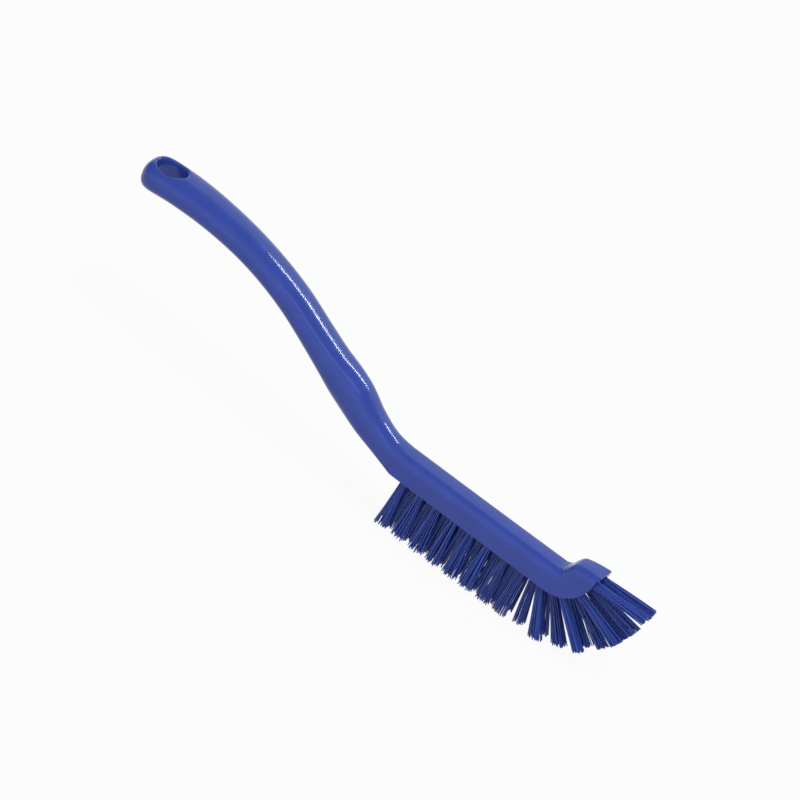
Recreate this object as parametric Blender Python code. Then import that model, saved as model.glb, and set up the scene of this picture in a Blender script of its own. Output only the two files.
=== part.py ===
"""Joint brush: a hand brush for narrow joints and corners.

One moulding holds the curved handle with its hanging hole, the thumb rest, the narrow head and the nose,
whose top is a scraper lip. Bristle tufts stand in three staggered rows along the head's underside and fan out
round the nose. Each tuft is folded over a flat wire anchor, which bites into the wall of its blind hole. The
anchors of the two outer rows are solids of their own, and those of the middle row are one with their tufts.

The head's underside is the plane z = 0 of the head frame, and its heel edge is x = 0. +X runs towards the
nose and +Z away from the bristles. An empty lifts everything so that the bristle tips stand on z = 0.
"""

import math

import bmesh
import bpy
import numpy as np
from mathutils import Matrix, Vector

# Head of the moulding
HEAD_LENGTH = 0.0808  # straight bristle face, from the heel edge to the bend of the nose
HEAD_WIDTH = 0.0152
HEEL_HEIGHT = 0.0107  # head, top to bristle face, at the heel
NECK_HEIGHT = 0.0112  # the same where the nose begins
RIM_CHAMFER = 0.0004  # lower edges of the head
TOP_EDGE_RADIUS = 0.0038
TOP_CROWN = 0.0006  # rise of the top face in its middle

# Nose and scraper lip
NOSE_RADIUS = 0.0178  # bristle face, as it bends up through a quarter turn
NOSE_WIDTH = 0.0166
LIP_LENGTH = 0.0121
LIP_STEP = 0.0017  # front edge of the lip above the end of the nose's quarter turn
LIP_FALL = 0.0019  # how much lower the lip's back end is
LIP_OVERHANG = 0.0006
LIP_EDGE = 0.0011  # thickness of the lip's front edge
LIP_CORNER_RADIUS = 0.0015
RISER_RUN_SHARES = (0.0, 0.40, 0.705, 1.0)
RISER_RISE_SHARES = (0.0, 0.19, 0.66, 1.0)
LIP_RUN_SHARES = (0.24, 1.0)
LIP_RISE_SHARES = (0.50, 1.0)

# Handle: centre line, thickness and width along it, as shares of the sizes that they follow
HANDLE_LENGTH = 0.1570  # heel edge to the end of the handle
HANDLE_RISE = 0.0464  # highest point of the centre line above the bristle face
HANDLE_THICKNESS = 0.0130  # at the hanging hole
HANDLE_WIDTH = 0.0225  # at the hanging hole
HEEL_SLOPE = 0.12  # of the centre line, where it leaves the heel
HEEL_SWELL = -0.10  # growth of the thickness there
END_ROUNDING_LENGTH = 0.0098  # rounding of the handle's end seen from above
END_ROUNDING_DEPTH = 0.0062  # rounding of the handle's end seen from the side
END_EXPONENT = 2.5  # superellipse of both roundings
BACK_SHARES = (0.067, 0.135, 0.201, 0.242, 0.299, 0.367, 0.467, 0.609, 0.755, 0.870, 1.0)
RISE_SHARES = (0.155, 0.239, 0.357, 0.420, 0.504, 0.612, 0.766, 0.913, 0.985, 0.995, 0.956)
THICKNESS_SHARES = (0.845, 1.018, 1.17, 1.14, 0.98, 0.89, 0.85, 0.835, 0.885, 0.94, 1.0)
WIDTH_SHARES = (0.685, 0.747, 0.818, 0.853, 0.867, 0.871, 0.88, 0.889, 0.933, 0.99, 1.0)
SQUARE_SHARES = (0.28, 0.05, 0.0, 0.0, 0.0, 0.0, 0.0, 0.0, 0.0, 0.0, 0.0)
ROUND_EXPONENT = 2.4  # superellipse of the handle's section
RIM_SHARE = 0.25  # most of a section's height that a lower edge takes
TOP_EDGE_SHARE = 0.60  # and an upper edge

# Hanging hole
HANG_HOLE_RADIUS = 0.0069
HANG_HOLE_RIM_RADIUS = 0.0013
HANG_HOLE_END_WALL = 0.0032  # hole to the end of the handle

# Tufts: ranks across the head hold two tufts, near its sides, and one, in its middle, in turn
HEEL_MARGIN = 0.0061  # first rank to the heel edge
FACE_RANKS = 18  # even from there to just past the bend
FACE_END_TURN = math.radians(3)
NOSE_RANKS = 5  # even round the nose
NOSE_TURNS = (math.radians(23.5), math.radians(80))  # first and last of them
LAST_LEAN = math.radians(91)  # direction of the last rank from straight down
LEAN_SHARES = (0.10, 0.25, 0.39, 0.505, 0.66, 0.765, 0.87, 1.0)  # of the last ranks, of that direction
SIDE_OFFSET = 0.0036  # tufts of a pair to the middle of the head
BRISTLE_LENGTH = 0.0239  # bristle face to the trimmed tips, along the head
TRIM_RADIUS = 0.0430  # arc to which the fan is trimmed
FRONT_BRISTLE_LENGTH = 0.0257  # front of the nose to the foremost trimmed tips
HOLE_RADIUS = 0.0020
HOLE_DEPTH = 0.0070
CLEARANCE = 0.0003  # between the moulding, a tuft and its anchor
STRANDS_ALONG = 3  # columns of strands in a tuft, counted along the head
STRANDS_ACROSS = 4
STRAND_GAP = 0.00018  # between neighbouring strands and the rim, at the root
TIP_RADIUS = 0.0027  # spread of a tuft at its tips
STRAGGLE = 0.00012

# Anchors
ANCHOR_THICKNESS = 0.00035
ANCHOR_HEIGHT = 0.0018
ANCHOR_BITE = 0.0005  # each end into the wall of the hole
ANCHOR_CHAMFER = 0.0004
FOLD_THICKNESS = 0.0006  # folded filaments below the anchor

OVERRUN = 0.004  # how far a cutter stands out of what it cuts

# Smoothness of the solids
HANDLE_RINGS = 25
END_RINGS = 6
HEAD_RINGS = 4
NOSE_RING_SHARES = tuple(np.linspace(0.0, 0.90, 12)[1:]) + (0.93, 0.96, 0.985, 1.0)
HOLE_SIDES = 16
HANG_HOLE_SIDES = 32
RIM_STEPS = 4
SECTION_DEGREES = (-90, -66, -44, -34, -8, 14, 27, 39, 51, 63, 77, 90)
EDGE_TURN_SHARES = (1 / 4, 1 / 2, 3 / 4, 1)
CROWN_SHARES = (1 / 2, 0)
NUDGE_SHARE = 0.001  # of the handle's length, for reading a slope
MERGE_SHARE = 0.01  # of the clearance, for points that coincide
SMOOTH_BELOW = math.radians(35)

BLUE = (0.045, 0.080, 0.420, 1.0)
BRISTLE_BLUE = (0.025, 0.045, 0.260, 1.0)
STEEL = (0.62, 0.62, 0.63, 1.0)


def clear_scene():
    for obj in list(bpy.data.objects):
        bpy.data.objects.remove(obj, do_unlink=True)


def material(name, colour, roughness, metallic=0.0):
    made = bpy.data.materials.new(name)
    made.use_nodes = True
    shader = made.node_tree.nodes["Principled BSDF"]
    shader.inputs["Base Color"].default_value = colour
    shader.inputs["Roughness"].default_value = roughness
    shader.inputs["Metallic"].default_value = metallic
    made.diffuse_color = colour
    return made


def add_object(name, bm, finish, parent, matrix=None):
    """Turns bm into a named object with one material, under parent."""
    mesh = bpy.data.meshes.new(name)
    bmesh.ops.recalc_face_normals(bm, faces=bm.faces)
    bm.to_mesh(mesh)
    bm.free()
    obj = bpy.data.objects.new(name, mesh)
    bpy.context.scene.collection.objects.link(obj)
    if finish is not None:
        mesh.materials.append(finish)
    obj.parent = parent
    if matrix is not None:
        obj.matrix_local = matrix
    return obj


def add_helper(name, bm, parent, matrix=None):
    """A helper solid that Boolean modifiers read and that no render shows."""
    helper = add_object(name, bm, None, parent, matrix)
    helper.hide_render = True
    helper.display_type = "WIRE"
    return helper


def combine(obj, helper, operation="DIFFERENCE"):
    made = obj.modifiers.new(operation.lower() + " " + helper.name, "BOOLEAN")
    made.operation = operation
    made.solver = "EXACT"
    made.object = helper


def smooth_through(at, places, values, end_slopes=(None, None)):
    """A smooth curve through (places, values), read at the places in at: cubic Hermite pieces whose slope at
    each point is that of the parabola through it and its neighbours."""
    places = np.asarray(places, float)
    values = np.asarray(values, float)
    steps = np.diff(places)
    rises = np.diff(values) / steps
    inner = (rises[:-1] * steps[1:] + rises[1:] * steps[:-1]) / (steps[:-1] + steps[1:])
    first = rises[0] if end_slopes[0] is None else end_slopes[0]
    last = rises[-1] if end_slopes[1] is None else end_slopes[1]
    slopes = np.concatenate([[first], inner, [last]])
    at = np.asarray(at, float)
    i = np.clip(np.searchsorted(places, at) - 1, 0, len(steps) - 1)
    t = (at - places[i]) / steps[i]
    start = (1 + 2 * t) * (1 - t) ** 2 * values[i] + t * (1 - t) ** 2 * steps[i] * slopes[i]
    end = t**2 * (3 - 2 * t) * values[i + 1] + t**2 * (t - 1) * steps[i] * slopes[i + 1]
    return start + end


def section(half_width, height, squareness):
    """One closed section of the moulding as (y, z) points, z from 0 to height: a superellipse that turns into
    a flat-bottomed block with rounded upper edges and a crowned top as squareness goes from 0 to 1. A low block
    keeps only the upper part of its edges' arcs."""
    turn = np.radians(SECTION_DEGREES)
    power = 2 / ROUND_EXPONENT
    round_y = half_width * np.abs(np.cos(turn)) ** power
    round_z = height / 2 * (1 + np.sign(turn) * np.abs(np.sin(turn)) ** power)

    rim = min(RIM_CHAMFER, RIM_SHARE * height)
    edge = min(TOP_EDGE_RADIUS, TOP_EDGE_SHARE * height)
    crown = TOP_CROWN * min(1.0, height / HEEL_HEIGHT)
    shoulder = height - crown - edge
    first_turn = math.asin(1 - edge / TOP_EDGE_RADIUS)
    arc = first_turn + (math.pi / 2 - first_turn) * np.array(EDGE_TURN_SHARES)
    inner = half_width - TOP_EDGE_RADIUS
    side = inner + TOP_EDGE_RADIUS * math.cos(first_turn)
    flat_y = (0, (side - rim) / 2, side - rim, side, side, side)
    flat_z = (0, 0, 0, rim, (rim + shoulder) / 2, shoulder)
    top_y = np.concatenate([inner + TOP_EDGE_RADIUS * np.cos(arc), inner * np.array(CROWN_SHARES)])
    top_z = height - crown - TOP_EDGE_RADIUS * (1 - np.sin(np.append(arc, [math.pi / 2] * len(CROWN_SHARES))))
    top_z = top_z + crown * (1 - (top_y / side) ** 2)
    square_y = np.concatenate([flat_y, top_y])
    square_z = np.concatenate([flat_z, top_z])

    half_y = round_y + squareness * (square_y - round_y)
    half_z = round_z + squareness * (square_z - round_z)
    half = np.stack([half_y, half_z], 1)
    half[[0, -1], 0] = 0
    other = half[-2:0:-1] * (-1, 1)
    return np.concatenate([half, other])


def handle_centre(back):
    """Centre height, thickness, width and squareness of the handle at distances back from the heel edge."""
    share = np.asarray(back) / HANDLE_LENGTH
    places = (0.0,) + BACK_SHARES
    rise = (HEEL_HEIGHT / 2,) + tuple(np.multiply(RISE_SHARES, HANDLE_RISE))
    heights = smooth_through(share, places, rise, (HEEL_SLOPE * HANDLE_LENGTH, None))
    thick = (HEEL_HEIGHT,) + tuple(np.multiply(THICKNESS_SHARES, HANDLE_THICKNESS))
    thickness = smooth_through(share, places, thick, (HEEL_SWELL * HANDLE_LENGTH, 0.0))
    wide = (HEAD_WIDTH,) + tuple(np.multiply(WIDTH_SHARES, HANDLE_WIDTH))
    width = smooth_through(share, places, wide, (0.0, 0.0))
    squareness = smooth_through(share, places, (1.0,) + SQUARE_SHARES, (None, 0.0))
    return heights, thickness, width, np.clip(squareness, 0, 1)


def handle_rings():
    """Rings from the end of the handle to the heel edge: lower rail, upper rail, half width, squareness."""
    turns = np.linspace(0, math.pi / 2, END_RINGS + 1)
    from_end = END_ROUNDING_LENGTH * (1 - np.cos(turns))
    rest = np.linspace(END_ROUNDING_LENGTH, HANDLE_LENGTH, HANDLE_RINGS)[1:]
    from_end = np.concatenate([from_end, rest])
    back = HANDLE_LENGTH - from_end
    height, thickness, width, squareness = handle_centre(back)
    nudge = HANDLE_LENGTH * NUDGE_SHARE
    ahead = handle_centre(np.clip(back - nudge, 0, None))[0]
    behind = handle_centre(np.clip(back + nudge, None, HANDLE_LENGTH))[0]
    run = np.clip(back + nudge, None, HANDLE_LENGTH) - np.clip(back - nudge, 0, None)
    slope = (ahead - behind) / run
    tangent = np.stack([np.ones_like(slope), slope], 1) / np.hypot(1, slope)[:, None]
    normal = np.stack([-tangent[:, 1], tangent[:, 0]], 1)
    centre = np.stack([-back, height], 1)

    plan = np.clip(1 - from_end / END_ROUNDING_LENGTH, 0, 1)
    side = np.clip(1 - from_end / END_ROUNDING_DEPTH, 0, 1)
    half_width = width / 2 * (1 - plan**END_EXPONENT) ** (1 / END_EXPONENT)
    half_thick = thickness / 2 * (1 - side**END_EXPONENT) ** (1 / END_EXPONENT)
    lower = centre - normal * half_thick[:, None]
    upper = centre + normal * half_thick[:, None]
    return list(zip(lower, upper, half_width, squareness))


def lip_front():
    return HEAD_LENGTH + NOSE_RADIUS + LIP_OVERHANG


def lip_height():
    return NOSE_RADIUS + LIP_STEP


def nose_top(shares):
    """Upper rail of the nose at shares of its length: riser behind the lip, then the lip itself."""
    lip_back = lip_front() - LIP_LENGTH
    back_height = lip_height() - LIP_FALL
    run = lip_back - HEAD_LENGTH
    points = [(HEAD_LENGTH + run * x, NECK_HEIGHT + (back_height - NECK_HEIGHT) * z)
              for x, z in zip(RISER_RUN_SHARES, RISER_RISE_SHARES)]
    points += [(lip_back + LIP_LENGTH * x, back_height + LIP_FALL * z)
               for x, z in zip(LIP_RUN_SHARES, LIP_RISE_SHARES)]
    points = np.array(points)
    along = np.concatenate([[0], np.cumsum(np.hypot(*np.diff(points, axis=0).T))])
    reach = np.asarray(shares) * along[-1]
    return np.stack([smooth_through(reach, along, points[:, 0]), smooth_through(reach, along, points[:, 1])], 1)


def nose_face(shares):
    """Lower rail of the nose at shares of its length: a quarter turn, then the flare under the lip's edge."""
    turn_length = NOSE_RADIUS * math.pi / 2
    flare_end = np.array([lip_front(), lip_height() - LIP_EDGE])
    flare_start = np.array([HEAD_LENGTH + NOSE_RADIUS, NOSE_RADIUS])
    flare_length = np.hypot(*(flare_end - flare_start))
    reach = np.asarray(shares) * (turn_length + flare_length)
    turn = np.minimum(reach, turn_length) / NOSE_RADIUS
    points = np.stack([HEAD_LENGTH + NOSE_RADIUS * np.sin(turn), NOSE_RADIUS * (1 - np.cos(turn))], 1)
    over = np.clip((reach - turn_length) / flare_length, 0, 1)[:, None]
    return points + over * (flare_end - flare_start)


def nose_half_width(x):
    """Half the nose's width at x along its top: it widens to the front, and the lip's corners are round."""
    taper = np.clip((x - HEAD_LENGTH) / (lip_front() - HEAD_LENGTH), 0, 1) ** 2
    half = (HEAD_WIDTH + taper * (NOSE_WIDTH - HEAD_WIDTH)) / 2
    corner = np.clip(1 - (lip_front() - x) / LIP_CORNER_RADIUS, 0, 1)
    return half - LIP_CORNER_RADIUS * (1 - np.sqrt(1 - corner**2))


def head_rings():
    rings = []
    for x in np.linspace(0, HEAD_LENGTH, HEAD_RINGS + 1)[1:]:
        height = HEEL_HEIGHT + (NECK_HEIGHT - HEEL_HEIGHT) * (x / HEAD_LENGTH) ** 2
        rings.append((np.array([x, 0.0]), np.array([x, height]), HEAD_WIDTH / 2, 1.0))
    lower = nose_face(NOSE_RING_SHARES)
    upper = nose_top(NOSE_RING_SHARES)
    for low, high in zip(lower, upper):
        rings.append((low, high, float(nose_half_width(high[0])), 1.0))
    return rings


def moulding_mesh():
    """The moulding before its holes: rings of points carried along it and joined by quads."""
    bm = bmesh.new()
    rings = handle_rings()
    end = (rings[0][0] + rings[0][1]) / 2
    pole = bm.verts.new((end[0], 0, end[1]))
    loops = []
    for low, high, half_width, squareness in rings[1:] + head_rings():
        height = float(np.hypot(*(high - low)))
        up = (high - low) / height
        points = section(half_width, height, squareness)
        loops.append([bm.verts.new((low[0] + up[0] * z, y, low[1] + up[1] * z)) for y, z in points])
    count = len(loops[0])
    for i in range(count):
        bm.faces.new((pole, loops[0][i], loops[0][(i + 1) % count]))
    for first, second in zip(loops, loops[1:]):
        for i in range(count):
            j = (i + 1) % count
            bm.faces.new((first[i], second[i], second[j], first[j]))
    bm.faces.new(loops[-1][::-1])
    return bm


def hang_hole_mesh():
    """Cutter for the hanging hole: a cylinder whose ends flare round the rims."""
    back = HANDLE_LENGTH - HANG_HOLE_END_WALL - HANG_HOLE_RADIUS
    height, thickness, _, _ = handle_centre(back)
    rim_start = float(thickness) / 2 - HANG_HOLE_RIM_RADIUS
    turns = np.linspace(0, math.pi / 2, RIM_STEPS + 1)
    rise = rim_start + HANG_HOLE_RIM_RADIUS * np.sin(turns)
    radius = HANG_HOLE_RADIUS + HANG_HOLE_RIM_RADIUS * (1 - np.cos(turns))
    upper = list(zip(radius, rise)) + [(radius[-1], rise[-1] + OVERRUN), (0.0, rise[-1] + OVERRUN)]
    profile = [(r, -z) for r, z in reversed(upper)] + upper
    bm = bmesh.new()
    verts = [bm.verts.new((r - back, 0, z + float(height))) for r, z in profile]
    edges = [bm.edges.new(pair) for pair in zip(verts, verts[1:])]
    bmesh.ops.spin(
        bm, geom=verts + edges, cent=(-back, 0, 0), axis=(0, 0, 1), angle=2 * math.pi, steps=HANG_HOLE_SIDES,
        use_merge=True,
    )
    bmesh.ops.remove_doubles(bm, verts=bm.verts, dist=CLEARANCE * MERGE_SHARE)
    return bm


def tuft_places():
    """For each tuft, heel to nose: where its hole meets the bristle face, and the turn that points its local
    +Z along the bristles."""
    face = np.linspace(HEEL_MARGIN, HEAD_LENGTH + NOSE_RADIUS * FACE_END_TURN, FACE_RANKS)
    nose = HEAD_LENGTH + NOSE_RADIUS * np.linspace(*NOSE_TURNS, NOSE_RANKS)
    leans = (0,) * (FACE_RANKS + NOSE_RANKS - len(LEAN_SHARES)) + tuple(np.multiply(LEAN_SHARES, LAST_LEAN))
    places = []
    for rank, along in enumerate(np.concatenate([face, nose])):
        turn = max(along - HEAD_LENGTH, 0) / NOSE_RADIUS
        x = min(along, HEAD_LENGTH) + NOSE_RADIUS * math.sin(turn)
        z = NOSE_RADIUS * (1 - math.cos(turn))
        for y in (-SIDE_OFFSET, SIDE_OFFSET) if rank % 2 == 0 else (0,):
            places.append(Matrix.Translation((x, y, z)) @ Matrix.Rotation(math.pi - leans[rank], 4, "Y"))
    return places


def place(bm, matrix):
    bmesh.ops.transform(bm, matrix=matrix, verts=bm.verts)
    return bm


def joined(pieces):
    """Several separate closed meshes in one bmesh."""
    whole = bmesh.new()
    for piece in pieces:
        mesh = bpy.data.meshes.new("piece")
        piece.to_mesh(mesh)
        piece.free()
        whole.from_mesh(mesh)
        bpy.data.meshes.remove(mesh)
    return whole


def hole_mesh(matrix):
    bm = bmesh.new()
    depth = HOLE_DEPTH + OVERRUN
    lift = Matrix.Translation((0, 0, OVERRUN - depth / 2))
    bmesh.ops.create_cone(
        bm, cap_ends=True, segments=HOLE_SIDES, radius1=HOLE_RADIUS, radius2=HOLE_RADIUS, depth=depth, matrix=lift
    )
    return place(bm, matrix)


def anchor_half_length():
    return HOLE_RADIUS + ANCHOR_BITE


def anchor_bottom():
    """Depth of the anchor's lower edge under the bristle face."""
    return HOLE_DEPTH - 2 * CLEARANCE - FOLD_THICKNESS


def slot_mesh(matrix):
    """Cutter for one anchor: the anchor's box with the clearance all round."""
    bm = bmesh.new()
    width = ANCHOR_THICKNESS + 2 * CLEARANCE
    length = 2 * (anchor_half_length() + CLEARANCE)
    height = ANCHOR_HEIGHT + 2 * CLEARANCE
    middle = ANCHOR_HEIGHT / 2 - anchor_bottom()
    shape = Matrix.Translation((0, 0, middle)) @ Matrix.Diagonal((width, length, height, 1))
    bmesh.ops.create_cube(bm, size=1, matrix=shape)
    return place(bm, matrix)


def anchor_mesh():
    """Flat wire on edge across the hole, with the corners of its lower edge cut off."""
    half = anchor_half_length()
    low = -anchor_bottom()
    high = low + ANCHOR_HEIGHT
    outline = (
        (-half, high), (-half, low + ANCHOR_CHAMFER), (-half + ANCHOR_CHAMFER, low),
        (half - ANCHOR_CHAMFER, low), (half, low + ANCHOR_CHAMFER), (half, high),
    )
    bm = bmesh.new()
    face = bm.faces.new([bm.verts.new((-ANCHOR_THICKNESS / 2, y, z)) for y, z in outline])
    grown = bmesh.ops.extrude_face_region(bm, geom=[face])
    moved = [item for item in grown["geom"] if isinstance(item, bmesh.types.BMVert)]
    bmesh.ops.translate(bm, verts=moved, vec=(ANCHOR_THICKNESS, 0, 0))
    return bm


def trim_front():
    """Foremost bristle tip from the heel edge."""
    return HEAD_LENGTH + NOSE_RADIUS + FRONT_BRISTLE_LENGTH


def trim_distance(start, direction):
    """How far from start a strand reaches the trim: a plane under the straight face, then an arc round the
    nose that leaves the plane without a step."""
    centre_x = trim_front() - TRIM_RADIUS
    centre_z = TRIM_RADIUS - BRISTLE_LENGTH
    if direction.z < 0:
        to_plane = (-BRISTLE_LENGTH - start.z) / direction.z
        if start.x + to_plane * direction.x <= centre_x:
            return to_plane
    dx = start.x - centre_x
    dz = start.z - centre_z
    a = direction.x**2 + direction.z**2
    b = dx * direction.x + dz * direction.z
    c = dx**2 + dz**2 - TRIM_RADIUS**2
    return (math.sqrt(b**2 - a * c) - b) / a


def tuft_mesh(matrix, seed):
    """A folded root that fills the hole, and square strands fused to it, which spread a little and end at the
    trim. The root's cells come from a square grid that is pressed into a circle."""
    rng = np.random.default_rng(seed)
    radius = HOLE_RADIUS - CLEARANCE
    bm = bmesh.new()
    grid = [
        [bm.verts.new((radius * u * math.sqrt(1 - v**2 / 2), radius * v * math.sqrt(1 - u**2 / 2), -CLEARANCE))
         for u in np.linspace(-1, 1, STRANDS_ALONG + 1)]
        for v in np.linspace(-1, 1, STRANDS_ACROSS + 1)
    ]
    cells = []
    for j in range(STRANDS_ACROSS):
        for i in range(STRANDS_ALONG):
            cells.append(bm.faces.new((grid[j][i], grid[j][i + 1], grid[j + 1][i + 1], grid[j + 1][i])))

    outline = grid[0][:-1] + [row[-1] for row in grid[:-1]] + grid[-1][:0:-1] + [row[0] for row in grid[:0:-1]]
    below = [bm.verts.new((v.co.x, v.co.y, CLEARANCE - HOLE_DEPTH)) for v in outline]
    count = len(outline)
    for i in range(count):
        j = (i + 1) % count
        bm.faces.new((outline[j], outline[i], below[i], below[j]))
    bm.faces.new(below[::-1])

    bmesh.ops.inset_individual(bm, faces=cells, thickness=STRAND_GAP / 2, depth=0)
    strands = bmesh.ops.extrude_discrete_faces(bm, faces=cells)["faces"]
    spread = TIP_RADIUS / radius - 1
    turned = matrix.to_3x3()
    for strand in strands:
        middle = strand.calc_center_median()
        drift = Vector((*rng.uniform(-STRAGGLE, STRAGGLE, 2), 0))
        aim = Vector((middle.x, middle.y, 0)) * spread + drift
        direction = (aim / BRISTLE_LENGTH + Vector((0, 0, 1))).normalized()
        for vert in strand.verts:
            vert.co += direction * trim_distance(matrix @ vert.co, turned @ direction)
    return bm


def smooth_shading(obj):
    obj.data.shade_smooth()
    obj.data.set_sharp_from_angle(angle=SMOOTH_BELOW)


def build():
    clear_scene()
    moulded = material("blue moulded plastic", BLUE, 0.25)
    filament = material("blue filament", BRISTLE_BLUE, 0.45)
    wire = material("bright steel wire", STEEL, 0.30, 1.0)

    stand = bpy.data.objects.new("bristle_tips", None)
    bpy.context.scene.collection.objects.link(stand)
    stand.location = ((HANDLE_LENGTH - trim_front()) / 2, 0, BRISTLE_LENGTH)

    places = tuft_places()
    holes = add_helper("tuft holes", joined([hole_mesh(m) for m in places]), stand)
    slots = add_helper("anchor slots", joined([slot_mesh(m) for m in places]), stand)
    hang_hole = add_helper("hanging hole", hang_hole_mesh(), stand)

    handle = add_object("handle", moulding_mesh(), moulded, stand)
    smooth_shading(handle)
    for cutter in (hang_hole, holes, slots):
        combine(handle, cutter)

    for number, matrix in enumerate(places, start=1):
        tuft = add_object(f"tuft_{number:02d}", tuft_mesh(matrix, number), filament, stand, matrix)
        in_outer_row = matrix.translation.y != 0
        if in_outer_row:
            combine(tuft, slots)
            add_object(f"anchor_{number:02d}", anchor_mesh(), wire, stand, matrix)
        else:
            combine(tuft, add_helper(f"wire {number:02d}", anchor_mesh(), stand, matrix), "UNION")


build()
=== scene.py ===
"""Joint brush: a hand brush for narrow joints, as fine surfaces and single filaments around its solids.

All places are metres. Shapes are worked out in the head frame, whose underside is z = 0 and whose heel edge
is x = 0, with +X towards the nose and +Z away from the bristles. STAND lifts them onto the bristle tips.
"""

import math

import bmesh
import bpy
import numpy as np
from mathutils import Matrix, Quaternion, Vector


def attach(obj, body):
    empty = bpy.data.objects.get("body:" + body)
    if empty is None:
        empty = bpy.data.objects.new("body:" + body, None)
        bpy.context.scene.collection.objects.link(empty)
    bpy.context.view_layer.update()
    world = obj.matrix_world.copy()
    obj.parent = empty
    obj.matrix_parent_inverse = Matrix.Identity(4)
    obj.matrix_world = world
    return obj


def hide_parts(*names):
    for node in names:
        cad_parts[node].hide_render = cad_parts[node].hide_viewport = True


bl_info = {
    "name": "Joint brush",
    "version": (1, 0, 0),
    "blender": (4, 5, 0),
    "location": "3D View > Sidebar > Joint brush",
    "description": "Moulding, bristle tufts, anchors and studio of a narrow hand brush",
    "category": "Object",
}

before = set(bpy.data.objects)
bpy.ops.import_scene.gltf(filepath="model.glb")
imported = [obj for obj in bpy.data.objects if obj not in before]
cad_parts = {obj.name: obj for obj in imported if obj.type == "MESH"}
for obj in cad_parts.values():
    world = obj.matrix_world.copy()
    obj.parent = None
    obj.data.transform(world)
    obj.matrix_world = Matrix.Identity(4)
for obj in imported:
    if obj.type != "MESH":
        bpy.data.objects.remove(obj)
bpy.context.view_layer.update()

# Head of the moulding
HEAD_LENGTH = 0.0808
HEAD_WIDTH = 0.0152
HEEL_HEIGHT = 0.0107
NECK_HEIGHT = 0.0112
RIM_ROUNDING = 0.0004
TOP_EDGE_RADIUS = 0.0038
TOP_CROWN = 0.0006

# Nose and scraper lip
NOSE_RADIUS = 0.0178
NOSE_WIDTH = 0.0166
LIP_LENGTH = 0.0121
LIP_STEP = 0.0017
LIP_FALL = 0.0019
LIP_OVERHANG = 0.0006
LIP_EDGE = 0.0011
LIP_EDGE_ROUNDING = 0.00025
LIP_CORNER_RADIUS = 0.0015
RISER_RUN_SHARES = (0.0, 0.40, 0.705, 1.0)
RISER_RISE_SHARES = (0.0, 0.19, 0.66, 1.0)
LIP_RUN_SHARES = (0.24, 1.0)
LIP_RISE_SHARES = (0.50, 1.0)
LIP_HEIGHT = NOSE_RADIUS + LIP_STEP

# Handle, as shares of its length, rise, thickness and width
HANDLE_LENGTH = 0.1570
HANDLE_RISE = 0.0464
HANDLE_THICKNESS = 0.0130
HANDLE_WIDTH = 0.0225
END_ROUNDING_LENGTH = 0.0098
END_ROUNDING_DEPTH = 0.0062
END_EXPONENT = 2.5
HEEL_SLOPE = 0.12
HEEL_SWELL = -0.10
BACK_SHARES = (0.0, 0.067, 0.135, 0.201, 0.242, 0.299, 0.367, 0.467, 0.609, 0.755, 0.870, 1.0)
RISE_SHARES = (0.155, 0.239, 0.357, 0.420, 0.504, 0.612, 0.766, 0.913, 0.985, 0.995, 0.956)
THICKNESS_SHARES = (0.845, 1.018, 1.17, 1.14, 0.98, 0.89, 0.85, 0.835, 0.885, 0.94, 1.0)
WIDTH_SHARES = (0.685, 0.747, 0.818, 0.853, 0.867, 0.871, 0.88, 0.889, 0.933, 0.99, 1.0)
SQUARE_SHARES = (1.0, 0.28, 0.05, 0.0, 0.0, 0.0, 0.0, 0.0, 0.0, 0.0, 0.0, 0.0)
ROUND_EXPONENT = 2.4
RIM_SHARE = 0.25
TOP_EDGE_SHARE = 0.60
HANG_HOLE_RADIUS = 0.0069
HANG_HOLE_END_WALL = 0.0032
HANG_HOLE_PATCH = 0.0090  # half the length of the stretch that is laid out round the hole
HANG_HOLE_RING_SHARES = (0.3, 0.6, 0.85, 1.0)  # rings on the way from that stretch's edge to the hole's rim
HANG_HOLE_RIM_STEPS = 6
HANG_HOLE_WALL_STEPS = 6

# Tufts
HEEL_MARGIN = 0.0061
FACE_RANKS = 18
FACE_END_TURN = math.radians(3)
NOSE_RANKS = 5
NOSE_TURNS = (math.radians(23.5), math.radians(80))
LAST_LEAN = math.radians(91)
LEAN_SHARES = (0.10, 0.25, 0.39, 0.505, 0.66, 0.765, 0.87, 1.0)
SIDE_OFFSET = 0.0036
BRISTLE_LENGTH = 0.0239
TRIM_RADIUS = 0.0430
FRONT_BRISTLE_LENGTH = 0.0257
HOLE_RADIUS = 0.0020
HOLE_DEPTH = 0.0070
HOLE_OVERRUN = 0.0040
ANCHOR_THICKNESS = 0.00035
ANCHOR_HALF_LENGTH = 0.0025
ANCHOR_TOP = -0.0040
ANCHOR_BOTTOM = -0.0058
ANCHOR_CHAMFER = 0.0004
TUFT_HOLE_SIDES = 32

# Filaments of a tuft: their grid in the hole, as shares of their pitch, then clearances, fold and path
GRID_ROWS = 9
GRID_COLUMNS = 4
ROW_CLOSENESS = 0.90
ROW_STAGGER = 0.25
ROOT_JITTER = 0.12
ROOT_DEPTH = 0.0004
WALL_CLEARANCE = 0.00005
ANCHOR_CLEARANCE = 0.00002
FOLD_SLOPE = 0.4
FOLD_NARROWING = 0.75
PATH_SHARES = (0, 0.3, 0.65, 1.0)
STRAY_DRIFT = 3  # drift of a straggler, as a multiple of the others'
FILAMENT_SIDES = 5
FILAMENT_THICKNESSES = (0.88, 1.06)
UPRIGHT = -0.99  # a tuft whose direction has a lower z stands upright
LEVEL = -0.1  # a tuft whose direction has a higher z lies level
LEVEL_REACH_SHARE = 0.82  # how far a level tuft spreads, as a share of the other leaning ones' reach

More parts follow.
